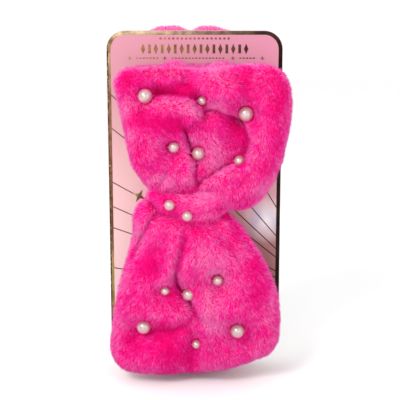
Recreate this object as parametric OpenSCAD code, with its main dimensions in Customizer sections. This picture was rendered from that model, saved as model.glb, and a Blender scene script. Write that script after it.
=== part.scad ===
// Plush spa headband with a large pearl-studded bow, mounted on its display card.
// Millimetres. X to the right, Y to the back, Z up. The fold under the card rests on Z = 0.

/* [Card] */
// Width of the display card
card_w = 104; // [102:1:106]
// Height of the display card
card_h = 195; // [193:1:197]
// Height of the card's lower edge above the floor
card_lift = 10; // [9.9:0.1:11]
// Thickness of the card board
board_t = 0.7; // [0.4:0.05:0.8]
// Thickness of the printed face and of each foil layer
print_t = 0.1; // [0.05:0.01:0.1]
// Corner radius of the card
card_r = 11; // [6:0.5:14]
// Width of the foil border
border_w = 2.4; // [1.5:0.1:4]

/* [Slot] */
// Length of the slot that the upper band end is tucked through
slot_w = 42; // [40:1:46]
// Height of the slot
slot_h = 4.6; // [4.4:0.1:6]
// Height of the slot's centre above the floor
slot_z = 183; // [182:0.5:184]

/* [Band] */
// Width of the band at the upper end
band_w = 55; // [50:1:56]
// Thickness of the plush on the front layer
plush_t = 2.5; // [2:0.1:2.5]
// Height where the two layers meet at the upper end
band_top = 172; // [168:1:174]
// Height where the two layers meet at the lower end
band_bottom = 9.6; // [9:0.1:9.7]
// Width of the elastic strip
elastic_w = 24; // [15:1:30]
// Height of the crest of the upper tail
crest_z = 208; // [204:0.5:212]

/* [Bow] */
// Gap between the bow loops and the knot
knot_gap = 0.5; // [0.4:0.1:1.2]
// Thickness of the plush cover of the loops
cover_t = 2.6; // [1.5:0.1:3.5]
// Clear space between cover and filling
filling_gap = 0.2; // [0.1:0.05:0.5]

/* [Pearls] */
// Diameter of the large pearls
pearl_l = 8; // [6:0.5:10]
// Diameter of the medium-large pearls
pearl_n = 7; // [5:0.5:8]
// Diameter of the medium pearls
pearl_m = 6; // [4:0.5:7]
// Diameter of the small pearls
pearl_s = 5; // [4:0.5:6]
// Diameter of the bore through each pearl
bore_d = 1; // [0.8:0.1:1.2]
// Diameter of the sewing thread
thread_d = 0.5; // [0.3:0.05:0.6]

/* [Hidden] */
$fn = 64;
eps = 0.05;

// Stack of layers from the card forward
board_y = -0.3;
print_y = board_y - print_t;
foil_y = print_y - print_t;
rear_y = -1;
rear_in = -6;
front_in = -12;
front_y = -17;
bow_y = -31;
knot_front = -46;
knot_top = 113;
knot_low = 97;

// Centres of the six pearls on the upper loop: x, y, z, diameter
upper_pearls = [
    [-27.5, -41.5, 171.5, pearl_l],
    [4.5, -38.5, 168.6, pearl_s],
    [29, -40, 161.2, pearl_l],
    [-11.6, -42, 142.6, pearl_m],
    [2.2, -40.5, 138.8, pearl_n],
    [25.5, -39.5, 134.4, pearl_m]
];
// Centres of the six pearls on the lower loop
lower_pearls = [
    [13.5, -41, 64.2, pearl_m],
    [-17.1, -42.5, 58.4, pearl_s],
    [-3.5, -41, 55.8, pearl_n],
    [-29.7, -42, 36.4, pearl_l],
    [25, -42.5, 34, pearl_l],
    [1, -40, 25, pearl_s]
];
// Centres of the two pearls on the knot
knot_pearls = [
    [-14.1, knot_front + 0.8, 109.9, pearl_m],
    [-4.1, knot_front + 0.6, 103.6, pearl_m]
];

// Directions of the foil rays, in degrees
ray_angles = [121, 130.4, 136.4, 141.2, 150.7, 155.8, 160.6, 170.6];

// ---- shared shapes ----

// Plate between y0 and y1 with a front-view outline
module plate(y0, y1) {
    translate([0, y1, 0]) rotate([90, 0, 0]) linear_extrude(y1 - y0) children();
}

// Rectangle with round corners, built from plain squares and circles
module round_rect(w, h, r) {
    square([w - 2 * r, h], center = true);
    square([w, h - 2 * r], center = true);
    for (sx = [-1, 1], sz = [-1, 1])
        translate([sx * (w / 2 - r), sz * (h / 2 - r)]) circle(r);
}

module card_outline(inset) {
    translate([0, card_lift + card_h / 2])
        round_rect(card_w - 2 * inset, card_h - 2 * inset, card_r - inset);
}

module slot_outline(grow) {
    translate([0, slot_z]) round_rect(slot_w + 2 * grow, slot_h + 2 * grow, slot_h / 2 - eps);
}

// Four-point star; "waist" is the share of its radius left between two arms
module star(r, waist = 0.24) {
    polygon([for (i = [0 : 7]) let (a = i * 45, k = i % 2 == 0 ? r : r * waist)
        [k * cos(a), k * sin(a)]]);
}

// One puffy lobe: the skin over a few balls, shrunk by "inset"
module lobe(balls, inset) {
    hull() for (b = balls) translate([b[0], b[1], b[2]]) sphere(b[3] - inset, $fn = 24);
}

// A pearl with its bore along X
module pearl(p) {
    color([0.96, 0.93, 0.88]) translate([p[0], p[1], p[2]]) rotate([0, 90, 0])
        rotate_extrude($fn = 40) intersection() {
            circle(d = p[3], $fn = 40);
            translate([bore_d / 2, -p[3]]) square([p[3], 2 * p[3]]);
        }
}

// Room for the pearls and their threads in the cloth behind them
module pearl_seats(list) {
    for (p = list) translate([p[0], p[1], p[2]]) sphere(d = p[3] * 1.06 + 0.2, $fn = 12);
}

// The thread through each pearl, with its two ends stitched into the cloth
module pearl_threads(list, depth) {
    color([0.97, 0.93, 0.95]) for (p = list) {
        reach = p[3] / 2 + thread_d;
        translate([p[0] - reach, p[1], p[2]]) rotate([0, 90, 0])
            cylinder(d = thread_d, h = 2 * reach, $fn = 16);
        for (s = [-1, 1]) translate([p[0] + s * reach, p[1], p[2]]) {
            sphere(d = thread_d, $fn = 16);
            rotate([-90, 0, 0]) cylinder(d = thread_d, h = depth, $fn = 16);
        }
    }
}

// ---- the band ----

// Half width of the front layer at height z: gathered in where the knot holds it
function front_half(z) = band_w / 2 - 10 * exp(-pow((z - 105) / 15, 4));
// Middle of the front layer at height z
function front_mid(z) = -5.5 * exp(-pow((z - 105) / 40, 2));
// Half width and middle of the rear layer at height z
function rear_half(z) = band_w / 2 - 2.5 * exp(-pow((z - 105) / 30, 2));
function rear_mid(z) = -4 * exp(-pow((z - 100) / 50, 2));

module front_outline(inset) {
    polygon(concat(
        [for (z = [band_bottom : 5.8 : band_top + eps]) [front_mid(z) - front_half(z) + inset, z]],
        [for (i = [0 : 28]) let (z = band_bottom + (28 - i) * 5.8)
            [front_mid(z) + front_half(z) - inset, z]]
    ));
}

module rear_outline(inset) {
    polygon(concat(
        [for (i = [0 : 28]) let (z = band_bottom + i * 5.8)
            [rear_mid(z) - rear_half(z) + inset, z]],
        [for (i = [0 : 28]) let (z = band_bottom + (28 - i) * 5.8)
            [rear_mid(z) + rear_half(z) - inset, z]]
    ));
}

module front_plush() {
    color([0.95, 0.16, 0.55]) plate(front_y, front_y + plush_t) front_outline(0);
}

module front_wadding() {
    color([0.97, 0.95, 0.93]) plate(front_y + plush_t, front_in - 1) front_outline(1.5);
}

module front_lining() {
    color([0.93, 0.35, 0.62]) plate(front_in - 1, front_in) front_outline(0);
}

module rear_plush() {
    color([0.95, 0.16, 0.55]) plate(-3.4, rear_y) rear_outline(0);
}

// The elastic lies in a casing between the plush and the lining
module rear_elastic() {
    color([0.96, 0.96, 0.96]) plate(-4.5, -3.4)
        translate([-2, 90]) square([elastic_w, 130], center = true);
}

module rear_lining() {
    color([0.93, 0.35, 0.62]) difference() {
        plate(rear_in, -3.4) rear_outline(0);
        plate(-4.6, -3.3) translate([-2, 90]) square([elastic_w + 0.2, 130.2], center = true);
    }
}

// A soft roll along X with round ends, from x0 to x1
module roll(x0, x1, y, z, r) {
    translate([x0 + r, y, z]) sphere(r);
    translate([x1 - r, y, z]) sphere(r);
    translate([x0 + r, y, z]) rotate([0, 90, 0]) cylinder(r = r, h = x1 - x0 - 2 * r);
}

// Both layers close up in front of the slot and pass through it as one flat neck
module upper_fold() {
    w = band_w - 7;
    color([0.97, 0.42, 0.70]) {
        translate([-w / 2, front_y + 1.5, 172]) cube([w, -front_y - 3, 10]);
        roll(-w / 2, -2, -9, slot_z - 1, 6.6);
        roll(6, w / 2 + 4, -9, slot_z - 1.2, 6.4);
        translate([-(slot_w - 3) / 2, -6, slot_z - 1.7]) cube([slot_w - 3, 8.5, 3.4]);
    }
}

// The band end behind the card, standing a little above the card's upper edge
module upper_tail() {
    r = 4.6;
    y = 7.6;
    color([0.97, 0.55, 0.76]) {
        translate([-band_w / 2, 3, slot_z - 1.7]) cube([band_w, 2, 3.4]);
        translate([-band_w / 2 - 1, 4.8, slot_z - 3])
            cube([band_w + 2, 5.6, crest_z - r - slot_z + 2]);
        roll(-band_w / 2 - 1.5, 1.5, y, crest_z - r, r);
        roll(-1.5, band_w / 2 + 1.5, y, crest_z - r, r);
    }
}

// The band turns under the card's lower edge here, and the whole object rests on it
module lower_fold() {
    color([0.95, 0.25, 0.60]) translate([-31, front_y, 0]) cube([56, 31, band_bottom - 0.1]);
}

// The closed lower end of the band, turned up behind the card
module lower_tail() {
    color([0.96, 0.35, 0.65]) {
        translate([-29, 2.6, band_bottom]) cube([52, 9, 24]);
        roll(-30, 24, 7.1, band_bottom + 25, 5);
    }
}

// The seam that closes the band into a loop
module tail_seam() {
    color([0.85, 0.10, 0.45]) translate([-3, 12.8, band_bottom + 1]) cylinder(r = 0.6, h = 28);
}

// ---- the knot ----

// The gathered waist of the bow inside the knot
module bow_waist() {
    color([0.85, 0.05, 0.42]) difference() {
        lobe([[-12, -29, 105, 7.6], [5, -29, 105.5, 7.6]], 0);
        translate([-40, -60, knot_top - 0.4]) cube([80, 60, 20]);
        translate([-40, -60, knot_low - 20 + 0.4]) cube([80, 60, 20]);
    }
}

// The wrap goes round the bow's waist and behind the front layer of the band
module knot_wrap() {
    color([0.96, 0.22, 0.58]) difference() {
        lobe([[-18, -36, 106, 9], [-6, -37, 104, 9.2], [9, -36, 105.5, 8.6],
            [-19, -16, 105, 8], [9.4, -16, 105, 8]], 0);
        lobe([[-12, -29, 105, 7.8], [5, -29, 105.5, 7.8]], 0);
        translate([-25, front_y - 0.1, 80]) cube([39, -front_y + front_in + 0.2, 60]);
        translate([-60, -8.6, 80]) cube([120, 10, 60]);
        translate([-40, -60, knot_top]) cube([80, 60, 20]);
        translate([-40, -60, knot_low - 20]) cube([80, 60, 20]);
        pearl_seats(knot_pearls);
    }
}

// Hand stitches that hold the ends of the wrap together behind the band
module knot_stitches() {
    color([0.80, 0.05, 0.40]) for (i = [0 : 4])
        translate([-8, -8.3, 99.5 + i * 2.7]) rotate([0, 90, 0]) cylinder(r = 0.3, h = 6, $fn = 16);
}

module knot_pearl_1() { pearl(knot_pearls[0]); }
module knot_pearl_2() { pearl(knot_pearls[1]); }
module knot_threads() { pearl_threads(knot_pearls, 5); }

// ---- the upper loop ----

module upper_shape(d) {
    // left lobe, with its corner at the upper left
    lobe([[-33, bow_y, 175.5, 12.4], [-4, bow_y, 173.5, 12], [-28.6, bow_y, 150, 12.6],
        [-24, bow_y, 131, 12], [-14, bow_y, 121.5, 9.8], [-7, bow_y, 148, 12]], d);
    // roll along the top right, down the right side and back to the knot
    lobe([[14, bow_y, 175.6, 11.5], [27, bow_y, 177.4, 12], [42.5, bow_y, 175.8, 12.4]], d);
    lobe([[42.5, bow_y, 175.8, 12.4], [42.8, bow_y, 160, 12.8], [38.6, bow_y, 138, 12.6]], d);
    lobe([[38.6, bow_y, 138, 12.6], [36.2, bow_y, 127, 12.4], [30.2, bow_y - 0.5, 115.5, 11.6]], d);
    lobe([[30.2, bow_y - 0.5, 115.5, 11.6], [12, bow_y, 123.2, 8.8], [33, bow_y, 126, 11]], d);
    // recessed panel inside the loop
    lobe([[4, -29, 164, 11], [34, -29, 158, 11], [30, -29, 132, 11],
        [5, -29, 122.5, 11], [-6, -29, 150, 11]], d);
}

module upper_cover() {
    color([0.96, 0.20, 0.57]) difference() {
        upper_shape(0);
        upper_shape(cover_t);
        translate([-26.8, -60, 90]) cube([44.6, 60, knot_top + knot_gap - 90]);
        pearl_seats(upper_pearls);
    }
}

module upper_filling() {
    color([0.98, 0.97, 0.95]) difference() {
        upper_shape(cover_t + filling_gap);
        translate([-26.8, -60, 90]) cube([44.6, 60, knot_top + knot_gap - 90]);
        pearl_seats(upper_pearls);
    }
}

module upper_pearl_1() { pearl(upper_pearls[0]); }
module upper_pearl_2() { pearl(upper_pearls[1]); }
module upper_pearl_3() { pearl(upper_pearls[2]); }
module upper_pearl_4() { pearl(upper_pearls[3]); }
module upper_pearl_5() { pearl(upper_pearls[4]); }
module upper_pearl_6() { pearl(upper_pearls[5]); }
module upper_threads() { pearl_threads(upper_pearls, 5); }

// ---- the lower loop ----

module lower_shape(d) {
    // left flap
    lobe([[-37, bow_y, 13.6, 13.4], [-10, bow_y, 13.4, 13.4], [-36, bow_y, 36, 13.4],
        [-33, bow_y, 58, 12.6], [-26, bow_y, 80, 10.4], [-12, bow_y, 88, 9.6]], d);
    // right lobe
    lobe([[6, bow_y, 15.4, 13.4], [22, bow_y, 18.6, 13.4], [36.4, bow_y, 25, 13.4],
        [37, bow_y, 44, 13.4], [31, bow_y, 66, 12.6], [20, bow_y, 89, 9.8],
        [-2, bow_y, 88, 9.6]], d);
    // gathered pleat beside the knot
    lobe([[-32.4, bow_y + 4, 98, 5.6], [-34, bow_y + 3, 84, 7], [-36, bow_y + 3, 68, 8]], d);
}

module lower_cover() {
    color([0.96, 0.20, 0.57]) difference() {
        lower_shape(0);
        lower_shape(cover_t);
        translate([-26.8, -60, knot_low - knot_gap]) cube([44.6, 60, 30]);
        translate([-60, -60, -20]) cube([120, 60, 20]);
        pearl_seats(lower_pearls);
    }
}

module lower_filling() {
    color([0.98, 0.97, 0.95]) difference() {
        lower_shape(cover_t + filling_gap);
        pearl_seats(lower_pearls);
    }
}

module lower_pearl_1() { pearl(lower_pearls[0]); }
module lower_pearl_2() { pearl(lower_pearls[1]); }
module lower_pearl_3() { pearl(lower_pearls[2]); }
module lower_pearl_4() { pearl(lower_pearls[3]); }
module lower_pearl_5() { pearl(lower_pearls[4]); }
module lower_pearl_6() { pearl(lower_pearls[5]); }
module lower_threads() { pearl_threads(lower_pearls, 5); }

// ---- the display card ----

module card_board() {
    color([0.93, 0.90, 0.86]) plate(board_y, board_y + board_t) difference() {
        card_outline(0);
        slot_outline(0);
    }
}

module card_print() {
    color([0.93, 0.63, 0.70]) plate(print_y, board_y) difference() {
        card_outline(0);
        slot_outline(0);
    }
}

module foil_border() {
    color([0.72, 0.56, 0.38]) plate(foil_y, print_y) difference() {
        card_outline(0.2);
        card_outline(border_w);
    }
}

// Thin rays that fan out from a point beyond the card's right edge
module foil_rays() {
    color([0.60, 0.45, 0.32]) plate(foil_y, print_y) intersection() {
        translate([-card_w / 2 + border_w + eps, 30]) square([card_w - 2 * border_w - 2 * eps, 147]);
        union() for (a = ray_angles) translate([86, 38]) rotate(a)
            translate([10, -0.28]) square([200, 0.56]);
    }
}

module foil_stars() {
    color([0.72, 0.56, 0.38]) plate(foil_y - print_t, foil_y) {
        translate([-33.7, 105.6]) rotate(-27) star(4.3, 0.34);
        for (x = [-38.4, -17.6, 22.6, 40]) translate([x, 188.9]) star(1.5);
    }
}

// A run of small marks along X, from x0 to x1
module marks(x0, x1, step, z, w, h) {
    for (x = [x0 : step : x1]) translate([x - w / 2, z - h / 2]) square([w, h]);
}

// Plain ornament: a bold frieze of lozenges and bars between two fine rows of marks
module foil_ornament() {
    color([0.66, 0.50, 0.34]) plate(foil_y, print_y) {
        for (i = [-8 : 8]) translate([i * 3.8, 194.3])
            if (i % 2 == 0) {
                polygon([[-1.3, 0], [0, -3.1], [1.3, 0], [0, 3.1]]);
            } else {
                translate([-0.8, -2.6]) square([1.6, 5.2]);
            }
        marks(-20, 20, 2.5, 200.4, 1.2, 1.1);
        marks(-34, -22, 2, 188.9, 1.1, 0.7);
        marks(-13, 18, 2, 188.9, 1.1, 0.7);
        marks(27, 36, 2, 188.9, 1.1, 0.7);
    }
}

front_plush();
front_wadding();
front_lining();
rear_plush();
rear_elastic();
rear_lining();
upper_fold();
upper_tail();
lower_fold();
lower_tail();
tail_seam();
bow_waist();
knot_wrap();
knot_stitches();
knot_pearl_1();
knot_pearl_2();
knot_threads();
upper_cover();
upper_filling();
upper_pearl_1();
upper_pearl_2();
upper_pearl_3();
upper_pearl_4();
upper_pearl_5();
upper_pearl_6();
upper_threads();
lower_cover();
lower_filling();
lower_pearl_1();
lower_pearl_2();
lower_pearl_3();
lower_pearl_4();
lower_pearl_5();
lower_pearl_6();
lower_threads();
card_board();
card_print();
foil_border();
foil_rays();
foil_stars();
foil_ornament();
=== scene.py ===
import math

import bpy
import numpy as np
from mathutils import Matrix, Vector


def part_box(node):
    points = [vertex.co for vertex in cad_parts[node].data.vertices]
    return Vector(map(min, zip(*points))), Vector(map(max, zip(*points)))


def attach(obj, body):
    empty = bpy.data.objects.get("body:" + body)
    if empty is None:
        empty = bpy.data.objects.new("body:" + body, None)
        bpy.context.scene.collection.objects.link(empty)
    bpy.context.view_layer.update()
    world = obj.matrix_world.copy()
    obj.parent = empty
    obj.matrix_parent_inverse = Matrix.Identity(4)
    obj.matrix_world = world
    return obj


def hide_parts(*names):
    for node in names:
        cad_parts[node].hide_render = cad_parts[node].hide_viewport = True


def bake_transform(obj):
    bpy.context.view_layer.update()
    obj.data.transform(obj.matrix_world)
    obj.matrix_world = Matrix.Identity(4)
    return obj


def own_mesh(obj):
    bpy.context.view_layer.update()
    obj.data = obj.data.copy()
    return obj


# A plush spa headband with a pearl bow, held upright by its display card. Shapes are made in mm.
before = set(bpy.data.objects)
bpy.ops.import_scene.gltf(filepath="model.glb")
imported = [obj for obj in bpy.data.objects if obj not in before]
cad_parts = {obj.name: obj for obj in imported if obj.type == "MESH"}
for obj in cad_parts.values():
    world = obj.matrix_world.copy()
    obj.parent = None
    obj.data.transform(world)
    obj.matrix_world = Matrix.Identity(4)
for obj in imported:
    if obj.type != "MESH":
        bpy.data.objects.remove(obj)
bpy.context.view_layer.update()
MM = 0.001
scene = bpy.context.scene

# ---------------------------------------------------------------- camera
TARGET = Vector((3.2, 0.0, 103.0)) * MM
DISTANCE = 675 * MM
ELEVATION = math.radians(12.5)
cam_data = bpy.data.cameras.new("camera")
cam_data.lens = 100
cam_data.sensor_width = 36
cam_data.clip_start = 0.01
camera = bpy.data.objects.new("camera", cam_data)
scene.collection.objects.link(camera)
camera.location = TARGET + DISTANCE * Vector((0.0, -math.cos(ELEVATION), math.sin(ELEVATION)))
camera.rotation_euler = (TARGET - camera.location).to_track_quat("-Z", "Y").to_euler()
scene.camera = camera


# ---------------------------------------------------------------- numpy helpers (millimetres)
def smooth(x, lo, hi):
    t = np.clip((x - lo) / (hi - lo), 0, 1)
    return t * t * (3 - 2 * t)


def unit(v):
    """Rows of v scaled to length 1."""
    return v / np.maximum(np.linalg.norm(v, axis=1)[:, None], 1e-6)


def resample(points, n, closed=True):
    """n points along a smooth curve through the given ones."""
    p = np.array(points, float)
    idx = np.arange(len(p) if closed else len(p) - 1)
    get = (lambda i: p[i % len(p)]) if closed else (lambda i: p[np.clip(i, 0, len(p) - 1)])
    out = []
    for t in np.linspace(0, 1, 12, endpoint=False):
        a, b, c, d = get(idx - 1), get(idx), get(idx + 1), get(idx + 2)
        out.append(0.5 * (2 * b + (c - a) * t + (2 * a - 5 * b + 4 * c - d) * t ** 2
                          + (3 * b - a - 3 * c + d) * t ** 3))
    q = np.stack(out, 1).reshape(-1, p.shape[1])
    q = np.vstack([q, q[:1] if closed else p[-1:]])
    s = np.r_[0, np.cumsum(np.linalg.norm(np.diff(q, axis=0), axis=1))]
    u = np.linspace(0, s[-1], n + 1)[:n] if closed else np.linspace(0, s[-1], n)
    return np.stack([np.interp(u, s, q[:, k]) for k in range(q.shape[1])], 1)


def to_line(x, z, line, closed=False):
    """Distance to a polyline, side (+1 to the left of its direction) and place along it, 0 to 1."""
    a = np.array(line, float)
    b = np.roll(a, -1, axis=0) if closed else a[1:]
    a = a if closed else a[:-1]
    best = np.full(x.shape, 1e9)
    side = np.zeros(x.shape)
    along = np.zeros(x.shape)
    seg = np.linalg.norm(b - a, axis=1)
    start = np.r_[0, np.cumsum(seg)]
    for i in range(len(a)):
        d = b[i] - a[i]
        t = np.clip(((x - a[i, 0]) * d[0] + (z - a[i, 1]) * d[1]) / max(seg[i] ** 2, 1e-9), 0, 1)
        ex, ez = x - a[i, 0] - t * d[0], z - a[i, 1] - t * d[1]
        dist = np.hypot(ex, ez)
        near = dist < best
        best = np.where(near, dist, best)
        side = np.where(near, np.sign(d[0] * ez - d[1] * ex), side)
        along = np.where(near, (start[i] + t * seg[i]) / start[-1], along)
    return best, side, along


def inside(x, z, poly):
    """Signed distance to a closed outline, positive inside."""
    p = np.array(poly, float)
    q = np.roll(p, -1, axis=0)
    hit = np.zeros(x.shape, bool)
    for a, b in zip(p, q):
        cross = (a[1] > z) != (b[1] > z)
        if a[1] != b[1]:
            hit ^= cross & (x < (b[0] - a[0]) * (z - a[1]) / (b[1] - a[1]) + a[0])
    d, _, _ = to_line(x, z, p, closed=True)
    return np.where(hit, d, -d)


def crease(x, z, line, depth, left, right, ends=0.18):
    """A valley along a line, with its own width on each side, that fades out at both ends."""
    d, s, t = to_line(x, z, resample(line, 24, closed=False))
    w = np.where(s > 0, left, right)
    return depth * np.exp(-(d / w) ** 2) * smooth(t, -0.02, ends) * smooth(1 - t, -0.02, ends)


def bump(x, z, cx, cz, height, wx, wz):
    return height * np.exp(-((x - cx) / wx) ** 2 - ((z - cz) / wz) ** 2)


HASH = (73856093, 19349663, 83492791)  # large primes that mix up a cell's three numbers
NOISE_TABLE = 4096


def value_noise(p, size, seed):
    """Smooth repeatable noise, -1 to 1, of points in mm."""
    r = np.random.default_rng(seed)
    table = r.uniform(-1, 1, NOISE_TABLE)
    q = p / size
    i = np.floor(q).astype(np.int64)
    f = q - i
    f = f * f * (3 - 2 * f)
    total = 0
    for dx in (0, 1):
        for dy in (0, 1):
            for dz in (0, 1):
                h = ((i[:, 0] + dx) * HASH[0] ^ (i[:, 1] + dy) * HASH[1] ^ (i[:, 2] + dz) * HASH[2])
                w = ((f[:, 0] if dx else 1 - f[:, 0]) * (f[:, 1] if dy else 1 - f[:, 1])
                     * (f[:, 2] if dz else 1 - f[:, 2]))
                total = total + w * table[h & (NOISE_TABLE - 1)]
    return total


# ---------------------------------------------------------------- mesh helpers
def new_mesh(name, verts, faces):
    m = bpy.data.meshes.new(name)
    m.from_pydata((np.asarray(verts) * MM).tolist(), [], [list(map(int, f)) for f in faces])
    m.update()
    return m


def link(name, mesh):
    o = bpy.data.objects.new(name, mesh)
    scene.collection.objects.link(o)
    return o


def tri_mesh(name, verts, tris, mats):
    """Fast mesh of many loose triangles."""
    m = bpy.data.meshes.new(name)
    m.vertices.add(len(verts))
    m.vertices.foreach_set("co", (verts * MM).astype(np.float32).ravel())
    m.loops.add(tris.size)
    m.loops.foreach_set("vertex_index", tris.astype(np.int32).ravel())
    m.polygons.add(len(tris))
    m.polygons.foreach_set("loop_start", np.arange(0, tris.size, 3, dtype=np.int32))
    m.polygons.foreach_set("material_index", mats.astype(np.int32))
    m.update(calc_edges=True)
    m.validate()
    return m


def coords(mesh):
    v = np.empty(len(mesh.vertices) * 3, np.float32)
    mesh.vertices.foreach_get("co", v)
    return v.reshape(-1, 3).astype(float) / MM


def set_coords(mesh, v):
    mesh.vertices.foreach_set("co", (v * MM).astype(np.float32).ravel())
    mesh.update()


def baked(o):
    """Replaces o's mesh by its mesh with all modifiers applied."""
    dg = bpy.context.evaluated_depsgraph_get()
    dg.update()
    m = bpy.data.meshes.new_from_object(o.evaluated_get(dg))
    o.modifiers.clear()
    o.data = m
    return o


def remesh(o, size):
    mod = o.modifiers.new("remesh", "REMESH")
    mod.mode = "VOXEL"
    mod.voxel_size = size * MM
    return baked(o)


def relax(o, factor, times):
    mod = o.modifiers.new("relax", "SMOOTH")
    mod.factor = factor
    mod.iterations = times
    return baked(o)


def subdivide(o, levels=1):
    mod = o.modifiers.new("sub", "SUBSURF")
    mod.levels = levels
    mod.render_levels = levels
    return baked(o)


def shade_smooth(o):
    o.data.polygons.foreach_set("use_smooth", np.ones(len(o.data.polygons), bool))
    o.data.update()


def inset_outline(poly, d, n=180):
    """The outline moved inwards by d."""
    p = resample(poly, n)
    t = unit(np.roll(p, -3, axis=0) - np.roll(p, 3, axis=0))
    nrm = np.stack([-t[:, 1], t[:, 0]], 1)
    area = 0.5 * np.sum(p[:, 0] * np.roll(p[:, 1], -1) - np.roll(p[:, 0], -1) * p[:, 1])
    return p + nrm * (d if area > 0 else -d)


def pillow(outline, y_mid, front, back, edge, rings=16):
    """Closed puffed form over a front-view outline, rounded over the outer "edge" mm."""
    c = outline.mean(0)
    n = len(outline)
    verts, faces = [], []
    fractions = 1 - (np.arange(rings) / rings) ** 1.6
    layers = []
    for sign in (-1, 1):
        rows = []
        for k, s in enumerate(fractions):
            if k == 0 and sign == 1:
                rows.append(layers[0][0])
                continue
            p = c + (outline - c) * s
            d, _, _ = to_line(p[:, 0], p[:, 1], outline, closed=True)
            d = d if k else d * 0
            e = np.sqrt(np.clip(1 - (1 - np.minimum(d / edge, 1)) ** 2, 0, 1))
            y = y_mid + (front if sign < 0 else back) * e * sign
            rows.append(np.arange(len(verts), len(verts) + n))
            verts += [(a, b, h) for (a, h), b in zip(p, y)]
        verts.append((c[0], y_mid + (front if sign < 0 else back) * sign, c[1]))
        layers.append(rows)
        tip = len(verts) - 1
        for a, b in zip(rows[:-1], rows[1:]):
            for i in range(n):
                j = (i + 1) % n
                q = (a[i], a[j], b[j], b[i])
                faces.append(q if sign > 0 else q[::-1])
        last = rows[-1]
        for i in range(n):
            j = (i + 1) % n
            faces.append((last[i], last[j], tip) if sign > 0 else (last[j], last[i], tip))
    return np.array(verts), faces


def joined(parts):
    """Vertices and faces of several parts as one."""
    verts, faces, n = [], [], 0
    for v, f in parts:
        verts.append(v)
        faces += [[i + n for i in face] for face in f]
        n += len(v)
    return np.vstack(verts), faces


# ---------------------------------------------------------------- materials
WHITE = (1, 1, 1, 1)
BLACK = (0, 0, 0, 1)


def srgb(r, g, b):
    c = [v / 255 for v in (r, g, b)]
    return [v / 12.92 if v <= 0.04045 else ((v + 0.055) / 1.055) ** 2.4 for v in c] + [1.0]


def material(name, rgb, rough=0.5, metallic=0.0, **extra):
    m = bpy.data.materials.new(name)
    m.use_nodes = True
    b = m.node_tree.nodes["Principled BSDF"]
    b.inputs["Base Color"].default_value = rgb
    b.inputs["Roughness"].default_value = rough
    b.inputs["Metallic"].default_value = metallic
    for key, value in extra.items():
        b.inputs[key.replace("_", " ")].default_value = value
    return m, m.node_tree, b


def noise_node(tree, scale, detail=3.0, stretch=None):
    coord = tree.nodes.new("ShaderNodeTexCoord")
    out = coord.outputs["Object"]
    if stretch:
        mp = tree.nodes.new("ShaderNodeMapping")
        mp.inputs["Scale"].default_value = stretch
        tree.links.new(out, mp.inputs["Vector"])
        out = mp.outputs["Vector"]
    n = tree.nodes.new("ShaderNodeTexNoise")
    n.inputs["Scale"].default_value = scale
    n.inputs["Detail"].default_value = detail
    tree.links.new(out, n.inputs["Vector"])
    return n


def ramp(tree, source, stops):
    r = tree.nodes.new("ShaderNodeValToRGB")
    e = r.color_ramp.elements
    e[0].position, e[0].color = stops[0]
    e[1].position, e[1].color = stops[-1]
    for pos, col in stops[1:-1]:
        k = e.new(pos)
        k.color = col
    tree.links.new(source, r.inputs["Fac"])
    return r


def bump_from(tree, bsdf, source, strength, distance):
    b = tree.nodes.new("ShaderNodeBump")
    b.inputs["Strength"].default_value = strength
    b.inputs["Distance"].default_value = distance
    tree.links.new(source, b.inputs["Height"])
    tree.links.new(b.outputs["Normal"], bsdf.inputs["Normal"])


def axis_range(tree, axis, lo, hi):
    """0 to 1 along an object axis, in metres."""
    co = tree.nodes.new("ShaderNodeTexCoord")
    sep = tree.nodes.new("ShaderNodeSeparateXYZ")
    tree.links.new(co.outputs["Object"], sep.inputs["Vector"])
    mr = tree.nodes.new("ShaderNodeMapRange")
    mr.inputs["From Min"].default_value = lo
    mr.inputs["From Max"].default_value = hi
    tree.links.new(sep.outputs[axis], mr.inputs["Value"])
    return mr.outputs["Result"]


def mix_colour(tree, factor, a, b, blend="MIX"):
    """Output of a mix node. Each of factor, a and b is a value or the output of another node."""
    m = tree.nodes.new("ShaderNodeMix")
    m.data_type = "RGBA"
    m.blend_type = blend
    # sockets 0, 6 and 7 are the factor and the two colours, output 2 is the colour
    for value, socket in ((factor, m.inputs[0]), (a, m.inputs[6]), (b, m.inputs[7])):
        if hasattr(value, "is_output"):
            tree.links.new(value, socket)
        else:
            socket.default_value = value
    return m.outputs[2]


def two_sided(tree, heights, left_stops, right_stops, span):
    """Colour that changes with height, in one way on the left of the card and another on the right."""
    z = axis_range(tree, "Z", *heights)
    left = ramp(tree, z, left_stops)
    right = ramp(tree, z, right_stops)
    return mix_colour(tree, axis_range(tree, "X", *span), left.outputs["Color"], right.outputs["Color"])


def mottle(tree, bsdf, scale, detail, stops, stretch=None):
    """Colours a material by noise. Returns the noise, for a bump of the same grain."""
    n = noise_node(tree, scale, detail, stretch).outputs["Fac"]
    tree.links.new(ramp(tree, n, stops).outputs["Color"], bsdf.inputs["Base Color"])
    return n


def plush_ground():
    """Knit backing that shows between the tufts, its deep pink partly painted shade between them."""
    deep, mid = srgb(196, 0, 94), srgb(236, 8, 124)
    m, t, b = material("plush_ground", mid, 0.95, Specular_IOR_Level=0.05)
    grain = mottle(t, b, 420, 4, [(0.32, deep), (0.68, mid)], (1, 1, 0.45))
    bump_from(t, b, grain, 0.6, 0.0012)
    return m


def pile_tint(number, rgb):
    return material("pile_%d" % number, srgb(*rgb), 0.85, Sheen_Weight=0.05, Sheen_Roughness=0.4,
                    Sheen_Tint=srgb(255, 150, 205), Specular_IOR_Level=0.05)[0]


SKIN = plush_ground()
# five tints of the same pile, from deep to pale: chance variation, and lit and shaded copies for painted
# shade and highlight
FUR = [pile_tint(i, rgb) for i, rgb in enumerate([
    (247, 5, 131), (253, 27, 155), (255, 56, 171), (255, 94, 184), (255, 136, 201)])]


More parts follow.
